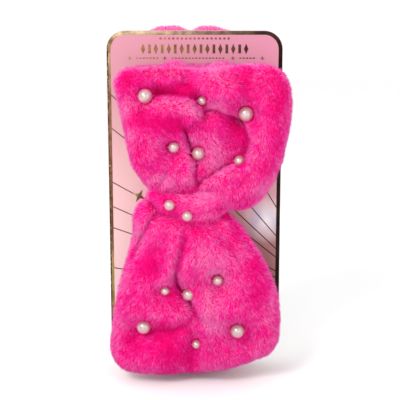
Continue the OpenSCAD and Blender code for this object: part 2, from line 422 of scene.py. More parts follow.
# ---------------------------------------------------------------- bow skins
PILE = 2.0  # room left inside a loop's outline for its pile
THIN_PILE = 1.6  # the same at the knot and the pleat
Y_BOW = -31.0  # middle of the bow, front to back
# outlines (x, z) in the front view
UPPER = [(-40.6, 187.2), (-44.8, 183.6), (-46.6, 177.7), (-45, 168.5), (-43.5, 159.9), (-41.3, 150),
         (-39.7, 139.5), (-37, 128.9), (-32.4, 121.9), (-26.7, 115.6), (-20, 111.6), (-10, 110),
         (2, 109), (10, 106.2), (16, 104.3), (23.7, 102.9), (32.8, 104.7), (40, 110),
         (45.9, 118), (50.5, 128.7), (53.2, 139.5), (55.3, 151.2), (56.7, 164.5), (55.9, 174.4),
         (53, 182), (48, 187.2), (38.4, 189.8), (25.9, 189.0), (11.7, 187.8), (-2.5, 187.6),
         (-16.7, 188.6), (-30.9, 188.6)]
LOWER = [(-21, 108), (-27, 99), (-34, 87), (-38.7, 80), (-44.3, 67.6), (-47.5, 52.7),
         (-49.6, 38.4), (-51, 26.4), (-51, 17.6), (-48.3, 10.4), (-43, 5.2), (-35, 3.6), (-22, 3.0),
         (-8, 3.2), (6.2, 4.2), (21.3, 6.6), (36.4, 11.2), (45.8, 15.6), (50.4, 22.6), (52, 34),
         (51.9, 44.7), (49.3, 57.1), (44.4, 70), (38.2, 81.6), (30.8, 93.1), (24, 101),
         (19, 107), (10, 110), (-4, 111), (-16, 110.5)]
PLEAT = [(-24, 113), (-30.5, 112), (-35, 108.5), (-37.6, 101), (-38.4, 89), (-40.8, 79), (-44, 68),
         (-45, 56), (-36, 54), (-24, 70), (-16, 88), (-16, 104)]
KNOT = [(-26.5, 118), (-28.2, 112.5), (-26, 107), (-20.5, 102), (-12, 98), (-4, 95.4), (5, 95.2),
        (12.5, 98), (19, 103), (24.5, 109), (31, 116), (31, 125), (22, 128), (12, 124), (2, 119.4),
        (-8, 118.4), (-18, 118.6)]
PANEL = [(4, 162.5), (11.2, 166.5), (20.2, 162.5), (29.2, 157), (33.2, 148), (32.4, 140), (29.2, 134),
         (17.2, 128), (7, 122), (2.2, 117), (1.2, 128), (0.2, 139), (-2.8, 146), (-5.8, 154),
         (-2.5, 159)]


def make_skin(name, parts, voxel):
    """Forms merged into one closed skin, meshed evenly at the voxel size and smoothed."""
    v, f = joined(parts)
    o = link(name, new_mesh(name, v, f))
    remesh(o, voxel)
    relax(o, 0.5, 4)
    return o


def block(x0, x1, z0=98.5, z1=111.5, n=12):
    """Outline of a rectangle with n points to a side, by default as high as the wrap."""
    corners = [(x0, z1), (x1, z1), (x1, z0), (x0, z0), (x0, z1)]
    points = []
    for (ax, az), (bx, bz) in zip(corners, corners[1:]):
        points += [(ax + (bx - ax) * i / n, az + (bz - az) * i / n) for i in range(n)]
    return np.array(points)[::-1]


upper = make_skin("upper_loop_skin", [
    pillow(inset_outline(UPPER, PILE), Y_BOW, front=12.5, back=11.0, edge=15)], voxel=2.1)
lower = make_skin("lower_loop_skin", [
    pillow(inset_outline(LOWER, PILE), Y_BOW, front=12.0, back=11.0, edge=15),
    pillow(inset_outline(PLEAT, THIN_PILE), -29.0, front=9.5, back=8.0, edge=9)], voxel=2.1)
# the wrap goes round the front layer of the band and meets behind it
knot = make_skin("knot_skin", [
    pillow(inset_outline(KNOT, THIN_PILE), Y_BOW, front=14.0, back=12.5, edge=12),
    pillow(block(-27.5, -23.5), -18.5, front=11.0, back=9.4, edge=1.5),
    pillow(block(12.5, 16.5), -18.5, front=11.0, back=9.4, edge=1.5),
    pillow(block(-26.5, 15.5), -10.4, front=1.4, back=1.5, edge=1.2)], voxel=1.8)


# ---------------------------------------------------------------- cloth pass
def inflate(objects, cap, pressure=4.0, frames=20):
    """Swells the pads with a short cloth simulation; no point moves further than cap mm."""
    rest = []
    for o in objects:
        rest.append(coords(o.data))
        mod = o.modifiers.new("cloth", "CLOTH")
        s = mod.settings
        s.quality = 5
        s.mass = 0.15
        s.tension_stiffness = 12
        s.compression_stiffness = 12
        s.shear_stiffness = 4
        s.bending_stiffness = 0.4
        s.use_pressure = True
        s.uniform_pressure_force = pressure
        s.effector_weights.gravity = 0
        mod.collision_settings.use_collision = False
        mod.collision_settings.use_self_collision = False
        mod.point_cache.frame_start = 1
        mod.point_cache.frame_end = frames
    for k in range(1, frames + 1):
        scene.frame_set(k)
    for o, v0 in zip(objects, rest):
        baked(o)
        v1 = coords(o.data)
        d = v1 - v0
        n = np.linalg.norm(d, axis=1)
        set_coords(o.data, v0 + d * np.minimum(1, cap / np.maximum(n, 1e-9))[:, None])
    scene.frame_set(1)


inflate([upper, lower, knot], cap=1.6)
for o in (upper, lower, knot):
    relax(o, 0.5, 2)
    subdivide(o, 1)


# ---------------------------------------------------------------- sculpting
def pearl_list(prefix, count):
    """Centre and radius of each pearl, from its CAD node."""
    out = []
    for i in range(1, count + 1):
        lo, hi = (np.array(c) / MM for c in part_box("%s_pearl_%d" % (prefix, i)))
        out.append(((lo + hi) / 2, (hi[2] - lo[2]) / 2))
    return out


PEARL_COUNT = {"upper": 6, "lower": 6, "knot": 2}
PEARLS = {part: pearl_list(part, count) for part, count in PEARL_COUNT.items()}
SEAT = 0.9  # how far the cloth lies behind a pearl's centre, as a share of its radius
SEAT_REACH = 5.0  # how far round a pearl the cloth is drawn in
FADE = 7  # depth over which the relief grows from nothing at the middle of the bow


def sculpt(o, relief, pearls):
    """Presses the relief into the front of a skin and brings the cloth to each pearl's seat."""
    v = coords(o.data)
    x, y, z = v.T
    w = smooth(Y_BOW - y, 0, FADE)
    y = y + w * relief(x, z)
    for c, r in pearls:
        d = np.hypot(x - c[0], z - c[2])
        near = (w > 0.5) & (d < 2.5)
        if near.any():
            gap = (c[1] + SEAT * r) - y[near].mean()
            y = y + w * gap * np.exp(-(d / (r + SEAT_REACH)) ** 2)
    v[:, 1] = y
    set_coords(o.data, v)
    relax(o, 0.35, 1)


def upper_relief(x, z):
    # recessed panel inside the loop, with the roll standing over its right and lower edge
    s = inside(x, z, resample(PANEL, 90))
    depth = 2.5 + 8.5 * smooth(x, -3, 30) + 2.5 * smooth(142 - z, -6, 16)
    g = depth * smooth(s, -0.6, 2.0)
    g = g - 2.5 * bump(x, z, 10, 141, 1.0, 9, 12)
    # roll round the right side
    d, _, _ = to_line(x, z, resample([(10, 175), (24, 174), (38, 168), (44, 155), (43, 140),
                                      (35, 124), (18, 113)], 40, closed=False))
    g = g - 4.0 * np.exp(-(d / 8.0) ** 2)
    # fold across the upper left, with its ridge below and a hollow above
    fold = [(-27, 170.5), (-18, 171.5), (-8, 171.6), (-1, 169.5), (4.2, 164.5), (6, 156)]
    g = g + crease(x, z, fold, 8.2, 6.5, 2.2)
    g = g - crease(x, z, [(-32, 163), (-18, 165.5), (-8, 165), (-1.5, 160.5), (0.5, 153)], 3.4, 3.4, 6.5)
    # edge of the left lobe over the panel
    g = g + crease(x, z, [(-8, 158), (-5, 151), (-2.2, 143), (0.6, 134), (0.6, 126), (2, 116)],
                   8.2, 1.5, 2.4, 0.22)
    g = g - crease(x, z, [(-13, 154), (-9, 143), (-6, 132), (-4, 119)], 3.6, 6, 4.0)
    # left lobe belly, dents in the top edge, groove beside the left seam
    g = g - bump(x, z, -24, 146, 2.6, 13, 17)
    g = g + crease(x, z, [(-3, 189), (-4, 181), (-5, 174)], 4.5, 5, 6, 0.3)
    g = g - bump(x, z, -27, 179, 1.8, 12, 6)
    g = g + crease(x, z, [(-42, 172), (-39, 152), (-35.5, 136), (-29, 122)], 1.8, 1.5, 1.5)
    g = g + crease(x, z, [(29, 183), (30, 174), (31, 166)], 2.4, 5, 5, 0.3)
    g = g - bump(x, z, 14, 177, 2.0, 9, 7)
    # cinched in towards the knot
    g = g + crease(x, z, [(-24, 117), (-18, 124), (-15, 133)], 1.6, 2, 2, 0.3)
    g = g + 1.1 * np.sin(x * 0.11 + 1.0) * np.sin(z * 0.13 + 0.6)
    return g


def lower_relief(x, z):
    # edge of the left flap over the right lobe, running down to the middle pearl
    line = [(-4.6, 98), (-6.4, 86), (-9.6, 74), (-10.8, 66), (-8.4, 59), (-2.6, 51), (2.0, 43), (4.2, 36)]
    g = crease(x, z, line, 3.4, 3.0, 3.4, 0.12) + crease(x, z, line[2:7], 3.4, 2.2, 2.6, 0.3)
    g = g - crease(x, z, [(-11, 94), (-13, 82), (-16, 69), (-22, 58)], 3.2, 4.5, 3.6)
    # smooth bulge of the right lobe
    g = g - bump(x, z, 11, 64, 3.8, 15, 26)
    g = g - crease(x, z, [(-2, 84), (-4.5, 72), (-3, 60), (4, 50), (9, 42)], 2.2, 4, 4)
    # hollow under the flap, across to the left pearl
    g = g + crease(x, z, [(-40, 35), (-28, 33.5), (-14, 35), (-4, 39.5), (2, 47)], 4.6, 3.2, 7.0)
    g = g - bump(x, z, -24, 46, 3.2, 15, 7)
    g = g + bump(x, z, 12.5, 57, 2.4, 4, 5)
    g = g + crease(x, z, [(2, 40), (-2, 26), (-2, 6)], 3.4, 6, 5, 0.3)
    g = g + bump(x, z, -38, 24, 3.2, 8, 8) + bump(x, z, 30, 26, 3.0, 8, 8)
    g = g - bump(x, z, -22, 14, 3.0, 12, 8) - bump(x, z, 24, 46, 2.0, 12, 9)
    g = g - bump(x, z, 18, 14, 2.0, 10, 8)
    # tucked in under the knot
    g = g + crease(x, z, [(-22, 105), (-14, 101), (-4, 97.5), (6, 97), (14, 100), (22, 106)],
                   3.0, 4, 3.0, 0.1)
    # pleats that run into the knot
    for line, depth in (([(-22, 106), (-27, 96), (-32, 86), (-37, 73)], 3.6),
                        ([(-30, 109), (-34, 99), (-36.5, 88), (-41, 72)], 2.4),
                        ([(8, 101), (14, 92), (22, 82), (27, 72)], 1.3),
                        ([(16, 103), (25, 92), (35, 78)], 1.6),
                        ([(-14, 99), (-19, 88), (-25, 78)], 1.4)):
        g = g + crease(x, z, line, depth, 1.8, 1.8)
    g = g + 1.1 * np.sin(x * 0.12 + 2.0) * np.sin(z * 0.11 + 1.7)
    return g


def knot_relief(x, z):
    g = 0 * x
    for off, depth in ((0, 0.9), (5.5, 1.2), (11, 1.2), (17, 1.0)):
        line = [(32, 121 - off), (14, 114 - off), (-4, 109 - off), (-24, 108 - off)]
        g = g + crease(x, z, line, depth, 1.8, 1.8)
    g = g - bump(x, z, 22, 116, 3.4, 10, 8) - bump(x, z, 6, 104, 1.6, 12, 7)
    g = g + bump(x, z, -24, 110, 2.0, 6, 8)
    return g


def patches(x, z, spots):
    """Sum of soft spots of painted highlight and shade (x, z, amount, half width, half height)."""
    return sum(bump(x, z, cx, cz, a, wx, wz) for cx, cz, a, wx, wz in spots)


def valleys(relief, step=0.8, reach=3):
    """How much lower a place lies than its surroundings, within reach steps of a grid over the bow."""
    gx, gz = np.arange(-64, 68, step), np.arange(-8, 216, step)
    g = relief(*np.meshgrid(gx, gz))
    wide = g
    for axis in (0, 1):
        for _ in range(2):
            pad = [(reach, reach) if k == axis else (0, 0) for k in (0, 1)]
            q = np.pad(wide, pad, mode="edge")
            wide = sum(np.roll(q, k, axis) for k in range(-reach, reach + 1)) / (2 * reach + 1)
            wide = wide[reach:-reach] if axis == 0 else wide[:, reach:-reach]
    high = g - wide

    def at(x, z):
        i = np.clip((x - gx[0]) / step, 0, len(gx) - 2)
        j = np.clip((z - gz[0]) / step, 0, len(gz) - 2)
        a, b = i.astype(int), j.astype(int)
        u, v = i - a, j - b
        return (high[b, a] * (1 - u) * (1 - v) + high[b, a + 1] * u * (1 - v)
                + high[b + 1, a] * (1 - u) * v + high[b + 1, a + 1] * u * v)
    return at


UPPER_VALLEYS = valleys(upper_relief)
LOWER_VALLEYS = valleys(lower_relief)


# Painted shade and highlight in the pile's tint: deeper in hollows, paler on ridges, and spots of it where
# the nap, brushed against the light, reads deep or, brushed with it, pale.
def upper_painted_shading(x, z):
    return np.clip(-0.13 * UPPER_VALLEYS(x, z), -0.5, 0.2) + patches(x, z, [
        (-37, 180, -0.3, 6, 6), (-13, 175, -0.5, 11, 4), (-1, 174, -0.4, 5, 5), (-24, 158, -0.35, 12, 5),
        (-9, 156, -0.4, 7, 5), (-20, 172, -0.2, 10, 4), (25, 153, -0.5, 8, 9), (29, 182, -0.3, 4, 6),
        (50, 177, -0.15, 4, 7),
        (-7, 186, 0.35, 5, 3), (-24, 185, 0.25, 12, 3), (13, 183, 0.35, 7, 4), (-18, 166.5, 0.3, 14, 2.2),
        (-3, 164, 0.3, 4, 3), (11, 164, 0.25, 6, 3), (-20, 124, 0.4, 11, 4), (11, 138, 0.45, 10, 12),
        (-24, 146, 0.12, 10, 8), (38.5, 152, 0.2, 2.5, 12), (46, 156, -0.2, 5, 20), (40, 122, 0.3, 9, 7),
        (49, 132, 0.2, 4, 8), (-39, 166, 0.3, 4, 9), (-35, 152, 0.25, 4, 9)])


def lower_painted_shading(x, z):
    return np.clip(-0.13 * LOWER_VALLEYS(x, z), -0.5, 0.2) + patches(x, z, [
        (-26, 75, -0.5, 8, 7), (-36, 29, -0.3, 6, 5), (-19, 36, -0.35, 11, 5), (-13, 22, -0.3, 7, 6),
        (-2, 17, -0.3, 3, 7), (-20, 25, -0.25, 15, 7), (34, 73, -0.35, 5, 6), (36, 58, -0.25, 4, 7),
        (2, 50, -0.35, 2.5, 5), (-11, 57, -0.3, 5, 5), (23, 91, -0.2, 5, 5), (30, 34, -0.2, 7, 3),
        (-12, 71, 0.25, 3, 9), (5, 82, 0.35, 5, 9), (13, 73, 0.4, 8, 9), (9, 49, 0.4, 6, 9),
        (13, 39, 0.25, 8, 4), (-32, 92, 0.35, 4, 8), (-41, 60, 0.15, 3, 12), (-45, 30, 0.25, 4, 10),
        (-36, 10, 0.25, 9, 4), (9, 11, 0.3, 9, 5), (37, 20, 0.25, 8, 6), (45, 50, 0.25, 4, 12),
        (36, 90, 0.3, 4, 8), (18, 59, 0.2, 9, 7), (-19, 47, 0.15, 8, 3)])


def knot_painted_shading(x, z):
    return patches(x, z, [
        (-21, 106, -0.15, 6, 6), (-11, 105, -0.25, 5, 3), (-20, 115, -0.3, 7, 3), (8, 94, -0.3, 10, 2),
        (0, 112, 0.3, 8, 3), (10, 115, 0.35, 8, 5), (22, 118, 0.25, 7, 6), (6, 104, 0.25, 8, 4)])


sculpt(upper, upper_relief, PEARLS["upper"])
sculpt(lower, lower_relief, PEARLS["lower"])
sculpt(knot, knot_relief, PEARLS["knot"])


# ---------------------------------------------------------------- band
def strip(path, width_at, thickness, centre_at, n_across=18):
    """Closed padded strip along a path (y, z), with soft rounded edges.

    Width, thickness and centre x are functions of the point on the path and of the place along it, 0 to 1.
    """
    p = resample(path, max(24, len(path) * 6), closed=False)
    t = unit(np.gradient(p, axis=0))
    nrm = np.stack([-t[:, 1], t[:, 0]], 1)
    ring = [(math.cos(a), math.sin(a)) for a in np.linspace(0, 2 * math.pi, n_across * 2, endpoint=False)]
    verts, faces = [], []
    m = len(ring)
    for k in range(len(p)):
        hw, cx = width_at(p[k], k / (len(p) - 1)) / 2, centre_at(p[k], k / (len(p) - 1))
        th = thickness(p[k], k / (len(p) - 1)) / 2
        for a, b in ring:
            sx = math.copysign(abs(a) ** 0.55, a)
            sy = math.copysign(abs(b) ** 0.75, b)
            off = nrm[k] * th * sy
            verts.append((cx + hw * sx, p[k, 0] + off[0], p[k, 1] + off[1]))
    for k in range(len(p) - 1):
        for i in range(m):
            j = (i + 1) % m
            faces.append((k * m + i, k * m + j, (k + 1) * m + j, (k + 1) * m + i))
    faces.append(tuple(range(m)))
    faces.append(tuple(range(len(p) * m - 1, (len(p) - 1) * m - 1, -1)))
    return np.array(verts), faces


KNOT_Z = 105


def waist(z, amount, width):
    """How much narrower the band is near the knot."""
    return amount * math.exp(-((z - KNOT_Z) / width) ** 4)


band_front = make_skin("band_front_skin", [strip(
    [(-14.5, 8), (-14.5, 60), (-14.5, 105), (-14.5, 150), (-14.2, 176)],
    width_at=lambda p, t: 53 - waist(p[1], 19, 15), thickness=lambda p, t: 5.0,
    centre_at=lambda p, t: -5.5 * math.exp(-((p[1] - KNOT_Z) / 40) ** 2))], voxel=2.2)
band_rear = make_skin("band_rear_skin", [strip(
    [(-3.4, 8), (-3.4, 60), (-3.4, 105), (-3.4, 150), (-3.6, 176)],
    width_at=lambda p, t: 53 - waist(p[1], 5, 30), thickness=lambda p, t: 4.4,
    centre_at=lambda p, t: -4 * math.exp(-((p[1] - 100) / 50) ** 2))], voxel=2.2)


def lobes(list_of):
    """Union of ellipsoids (x, y, z, rx, ry, rz)."""
    parts = []
    n, m = 20, 12
    for cx, cy, cz, rx, ry, rz in list_of:
        verts = [(cx, cy, cz + rz)]
        for i in range(1, m):
            a = math.pi * i / m
            for j in range(n):
                b = 2 * math.pi * j / n
                verts.append((cx + rx * math.sin(a) * math.cos(b), cy + ry * math.sin(a) * math.sin(b),
                              cz + rz * math.cos(a)))
        verts.append((cx, cy, cz - rz))
        faces = [(0, 1 + j, 1 + (j + 1) % n) for j in range(n)]
        for i in range(m - 2):
            for j in range(n):
                a, b = 1 + i * n + j, 1 + i * n + (j + 1) % n
                faces.append((a, a + n, b + n, b))
        last = len(verts) - 1
        faces += [(last, last - n + (j + 1) % n, last - n + j) for j in range(n)]
        parts.append((np.array(verts), faces))
    return parts


# the fold in front of the slot ends in a neck that fills the slot
upper_fold = make_skin("upper_fold_skin", lobes([
    (-12, -9.5, 181.0, 9.4, 5.4, 6.8), (17.2, -9.5, 180.6, 9.8, 5.4, 6.6), (0, -9, 174.5, 25, 6.0, 5.6)])
    + [strip([(-9, 176), (-6, 181.4), (-2, 183), (2.6, 183)],
             width_at=lambda p, t: 52 - 10.2 * smooth(t, 0.1, 0.5),
             thickness=lambda p, t: 3.2 + 1.3 * smooth(t, 0.5, 0.75), centre_at=lambda p, t: 0)], voxel=1.6)
# the tail starts inside that neck, so that the two stay joined when the tail is squeezed flat
upper_tail = make_skin("upper_tail_skin", lobes([
    (-15.6, 7.4, 199.4, 13.4, 4.6, 7.8), (8.6, 7.4, 199.4, 12.5, 4.6, 7.8), (17.8, 7.4, 197.8, 9.2, 4.4, 6.8),
    (-2, 7.4, 197.5, 9, 4.4, 6.2), (0, 7.2, 191, 29, 4.2, 8)])
    + [strip([(0.6, 183), (3.0, 183), (5.5, 183.4), (7.2, 186)],
             width_at=lambda p, t: 40 + 16 * smooth(p[0], 2.8, 7.2),
             thickness=lambda p, t: 3.4, centre_at=lambda p, t: 0)], voxel=1.7)
lower_fold = make_skin("lower_fold_skin", [strip(
    [(-14.2, 9.4), (-13.6, 6.2), (-9, 3.4), (0, 2.8), (8, 3.2), (10.6, 6.0), (9.6, 9.2)],
    width_at=lambda p, t: 55, thickness=lambda p, t: 5.4, centre_at=lambda p, t: -3)], voxel=1.8)
lower_tail = make_skin("lower_tail_skin", [strip(
    [(8.0, 9.6), (7.4, 20), (7.2, 28), (7.0, 36)],
    width_at=lambda p, t: 53 + 3 * t, thickness=lambda p, t: 6.5 + 3.0 * smooth(t, 0.4, 1.0),
    centre_at=lambda p, t: -3)], voxel=2.0)
for o in (band_front, band_rear, upper_fold, upper_tail, lower_fold, lower_tail):
    relax(o, 0.5, 2)
    v = coords(o.data)
    uneven = np.stack([value_noise(v, 9, seed) for seed in (5, 6, 7)], 1)
    set_coords(o.data, v + 0.35 * uneven)


# ---------------------------------------------------------------- pile
SWIRL = 0.55  # how far slow noise turns the nap
CLUMPING = 0.75  # how far fine noise gathers it
STRAY = 0.28  # how far each tuft goes its own way
LEAN_RANGE = (22, 76)  # degrees from upright
ROOT_DEPTH = 0.35  # mm that a tuft starts below the skin
TINT_MIDDLE = 0.47  # 0 is the deepest tint, 1 the palest
TINT_NOISE = ((14, 0.10), (2.0, 0.19), (5, 0.10))  # size in mm and weight: slow patches and clumps
TINT_CHANCE = 0.18
SIDE_LIGHT = 0.26  # painted sheen: how much paler the sides of a form are


def scatter(skin, per_mm2, rng):
    """Random points spread evenly over a skin, and their normals."""
    m = skin.data
    m.calc_loop_triangles()
    tri = np.empty(len(m.loop_triangles) * 3, np.int32)
    m.loop_triangles.foreach_get("vertices", tri)
    tri = tri.reshape(-1, 3)
    v = coords(m)
    nv = np.empty(len(m.vertices) * 3, np.float32)
    m.vertices.foreach_get("normal", nv)
    nv = nv.reshape(-1, 3).astype(float)
    a, b, c = v[tri[:, 0]], v[tri[:, 1]], v[tri[:, 2]]
    area = 0.5 * np.linalg.norm(np.cross(b - a, c - a), axis=1)
    n = int(area.sum() * per_mm2)
    pick = rng.choice(len(tri), n, p=area / area.sum())
    u = rng.random((n, 2))
    flip = u.sum(1) > 1
    u[flip] = 1 - u[flip]
    w = np.c_[1 - u.sum(1), u][:, :, None]
    return (v[tri[pick]] * w).sum(1), unit((nv[tri[pick]] * w).sum(1))


def nap(root, nor, comb, lean, length, rng, seed):
    """Direction and length of each tuft: combed, swirled, clumped and leaning over."""
    n = len(root)
    way = comb(root)
    way = way + SWIRL * value_noise(root, 16, seed + 1)[:, None] * np.cross(nor, way)
    clump = np.stack([value_noise(root, 1.7, seed + k) for k in (2, 3, 4)], 1)
    way = way + CLUMPING * clump + STRAY * rng.normal(size=(n, 3))
    way = unit(way - nor * (way * nor).sum(1)[:, None])
    ang = np.radians(lean + 9 * value_noise(root, 6, seed + 5) + 7 * rng.normal(size=n))
    ang = np.clip(ang, *np.radians(LEAN_RANGE))[:, None]
    size = length * (0.85 + 0.3 * rng.random(n)) * (1 + 0.16 * value_noise(root, 4, seed + 6))
    return nor * np.cos(ang) + way * np.sin(ang), size


def clear_pearls(root, tip, nor, size, length, pearls):
    """Drops the tufts under each pearl and turns the ones beside it outwards."""
    for centre, r in pearls:
        d = root - centre
        flat = np.hypot(d[:, 0], d[:, 2])
        in_front = root[:, 1] < centre[1] + 3 * r
        hidden = (flat < r * 0.85) & in_front
        tip_flat = np.hypot(tip[:, 0] - centre[0], tip[:, 2] - centre[2])
        cover = (tip_flat < r + 0.5) & (flat < r + length) & in_front
        out = np.stack([d[:, 0], 0 * flat, d[:, 2]], 1) / np.maximum(flat, 1e-6)[:, None]
        new_tip = root + (out * 0.75 + nor * 0.65) * (size * 0.62)[:, None]
        tip = np.where(cover[:, None], new_tip, tip)
        size = np.where(hidden, 0, size)
    return tip, size


def tufts(root, tip, nor, axis, width, rng):
    """Points and triangles of closed three-sided tufts."""
    n = len(root)
    ref = unit(np.cross(axis, rng.normal(size=(n, 3))))
    bi = np.cross(axis, ref)
    wide = (width * (0.7 + 0.6 * rng.random(n)) / 2)[:, None]
    base = root - nor * ROOT_DEPTH
    pts = np.empty((n, 4, 3))
    for k in range(3):
        t = 2 * math.pi * k / 3
        pts[:, k] = base + wide * (ref * math.cos(t) + bi * math.sin(t))
    pts[:, 3] = tip
    i = np.arange(n)[:, None] * 4
    tris = np.concatenate([i + [0, 1, 3], i + [1, 2, 3], i + [2, 0, 3], i + [2, 1, 0]], 1)
    return pts.reshape(-1, 3), tris.reshape(-1, 3)


def tint_of(root, light, rng, seed):
    """Number of each tuft's tint, from patches, clumps and chance."""
    shade = TINT_MIDDLE + light
    for k, (size, weight) in enumerate(TINT_NOISE):
        shade = shade + weight * value_noise(root, size, seed + 7 + k)
    shade = shade + TINT_CHANCE * rng.normal(size=len(root))
    return np.clip((shade * len(FUR)).astype(int), 0, len(FUR) - 1)


def pile(name, skin, per_mm2, length, width, comb, seed, pearls=(), lean=56, keep=None, floor=None,
         light=0.0, tone=None):
    """Short plush pile on a skin: closed tapered tufts, combed, clumped and tinted."""
    rng = np.random.default_rng(seed)
    root, nor = scatter(skin, per_mm2, rng)
    if keep is not None:
        ok = keep(root, nor)
        root, nor = root[ok], nor[ok]
    axis, size = nap(root, nor, comb, lean, length, rng, seed)
    tip, size = clear_pearls(root, root + axis * size[:, None], nor, size, length, pearls)
    if floor is not None:
        tip[:, 2] = np.maximum(tip[:, 2], floor)
    ok = size > 0
    root, tip, nor, axis = root[ok], tip[ok], nor[ok], axis[ok]
    # the front of the pile takes the painted shade and highlights; the sides of each form are painted paler
    # as sheen
    if tone is not None:
        light = light + tone(root[:, 0], root[:, 2]) * smooth(-nor[:, 1], 0.0, 0.6)
    light = light + SIDE_LIGHT * smooth(1 - np.abs(nor[:, 1]), 0.35, 0.9)
    pts, tris = tufts(root, tip, nor, axis, width, rng)
    o = link(name, tri_mesh(name, pts, tris, np.repeat(tint_of(root, light, rng, seed), 4)))
    for f in FUR:
        o.data.materials.append(f)
    return o


# Combs: the way the pile is brushed at the points p
def down(p):
    return np.tile(np.array([0.12, -0.10, -1.0]), (len(p), 1))


def from_knot(p):
    d = p - np.array([-4.0, Y_BOW, KNOT_Z])
    d[:, 1] *= 0.3
    return unit(d)


def upper_comb(p):
    return down(p) * 0.8 + np.stack([np.sin((p[:, 2] - 110) * 0.05) * 0.3 - (p[:, 0] - 5) * 0.012,
                                     0 * p[:, 0], 0 * p[:, 0]], 1)


def lower_comb(p):
    return down(p) + np.stack([(p[:, 0] - 5) * 0.014, 0 * p[:, 0], 0 * p[:, 0]], 1)


def knot_comb(p):
    return np.tile(np.array([-0.8, -0.1, -0.5]), (len(p), 1))


def up(p):
    return -down(p)


# Which roots to keep
def front_half(root, nor):
    return root[:, 1] < Y_BOW


def back_half(root, nor):
    return root[:, 1] >= Y_BOW


for o in (upper, lower, knot, band_front, band_rear, upper_fold, upper_tail, lower_fold, lower_tail):
    o.data.materials.clear()
    o.data.materials.append(SKIN)
    shade_smooth(o)

upper_fur = [
    pile("upper_pile_front", upper, per_mm2=4.85, length=2.8, width=0.38, comb=upper_comb, seed=11,
         pearls=PEARLS["upper"], keep=front_half, tone=upper_painted_shading, lean=50),
    pile("upper_pile_back", upper, per_mm2=2.6, length=3.4, width=0.48, comb=down, seed=12, keep=back_half)]
lower_fur = [
    pile("lower_pile_front", lower, per_mm2=4.5, length=2.8, width=0.385, comb=lower_comb, seed=21,
         pearls=PEARLS["lower"], keep=front_half, floor=0.3, tone=lower_painted_shading, lean=50),
    pile("lower_pile_back", lower, per_mm2=2.6, length=3.4, width=0.48, comb=down, seed=22,
         keep=back_half, floor=0.3)]
# the wrap has no pile on the side that faces the band
knot_fur = [pile(
    "knot_pile", knot, per_mm2=5.0, length=2.8, width=0.37, comb=knot_comb, seed=31, pearls=PEARLS["knot"],
    tone=knot_painted_shading, lean=50,
    keep=lambda r, n: (r[:, 1] < -12.5) & ((r[:, 1] < -18) | (n[:, 0] * (r[:, 0] + 5.5) > 0.4)))]
band_fur = [
    pile("band_front_pile", band_front, per_mm2=1.8, length=3.0, width=0.5, comb=down, seed=41, lean=62,
         keep=lambda r, n: (r[:, 1] < -14.0) | (np.abs(n[:, 0]) > 0.5)),
    pile("band_rear_pile", band_rear, per_mm2=1.6, length=2.4, width=0.5, comb=down, seed=42, lean=66,
         keep=lambda r, n: np.abs(n[:, 0]) > 0.4)]
# the fold and the tail take paler tints, as painted highlight on the band's folded ends
upper_fold_fur = [pile(
    "upper_fold_pile", upper_fold, per_mm2=3.8, length=2.8, width=0.4, comb=from_knot, seed=51, light=0.3,
    keep=lambda r, n: r[:, 1] < -2.6)]
upper_tail_fur = [pile(
    "upper_tail_pile", upper_tail, per_mm2=4.0, length=2.4, width=0.4, comb=up, seed=52, light=0.8, lean=62,
    keep=lambda r, n: r[:, 1] > 3.6)]
lower_fold_fur = [pile(
    "lower_fold_pile", lower_fold, per_mm2=1.6, length=2.6, width=0.5, comb=down, seed=53, lean=66, floor=0.2,
    keep=lambda r, n: (r[:, 2] > 2.0) & (n[:, 2] < 0.5))]
lower_tail_fur = [pile(
    "lower_tail_pile", lower_tail, per_mm2=2.4, length=3.4, width=0.45, comb=up, seed=54,
    keep=lambda r, n: r[:, 1] > 4.2)]

# ---------------------------------------------------------------- riding
for o in [upper] + upper_fur:
    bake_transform(o)
for o in [lower] + lower_fur:
    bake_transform(o)
for o in ([knot, band_front, band_rear, upper_fold, lower_fold] + knot_fur + band_fur
          + upper_fold_fur + lower_fold_fur):
    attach(o, "headband")
for o in [upper_tail] + upper_tail_fur:
    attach(o, "headband")
    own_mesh(o)
for o in [lower_tail] + lower_tail_fur:
    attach(o, "headband")
    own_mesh(o)

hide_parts("upper_cover", "upper_filling")
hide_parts("lower_cover", "lower_filling")
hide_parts("knot_wrap", "bow_waist")
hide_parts("front_plush", "front_wadding", "front_lining")
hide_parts("rear_plush", "rear_elastic", "rear_lining")
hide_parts("upper_fold")
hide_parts("upper_tail")
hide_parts("lower_fold")
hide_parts("lower_tail", "tail_seam")


# ---------------------------------------------------------------- CAD nodes that stay
def paint(mat, *nodes):
    """Gives CAD nodes a material."""
    for name in nodes:
        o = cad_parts[name]
        if not o.data.materials:
            o.data.materials.append(mat)
        for s in o.material_slots:
            s.link = "OBJECT"
            s.material = mat


def pearl_material():
    """Faux pearl: satin body under a clear lacquer, with a warm rim."""
    m, t, b = material("pearl", srgb(158, 124, 125), 0.35, Coat_Weight=1.0, Coat_Roughness=0.14, Coat_IOR=2.2,
                       Sheen_Weight=1.0, Sheen_Roughness=0.4, Sheen_Tint=srgb(255, 110, 130))
    mottle(t, b, 500, 2, [(0.35, srgb(152, 119, 119)), (0.65, srgb(164, 129, 131))])
    return m


def thread_material():
    m, t, b = material("thread", srgb(240, 60, 140), 0.6)
    bump_from(t, b, noise_node(t, 3000, 2).outputs["Fac"], 0.3, 0.0001)
    return m


def board_material():
    """Uncoated card, seen on the back and at the cut edges."""
    m, t, b = material("board", srgb(236, 230, 222), 0.85)
    grain = mottle(t, b, 900, 5, [(0.35, srgb(226, 219, 210)), (0.65, srgb(240, 235, 228))])
    bump_from(t, b, grain, 0.15, 0.0001)
    return m


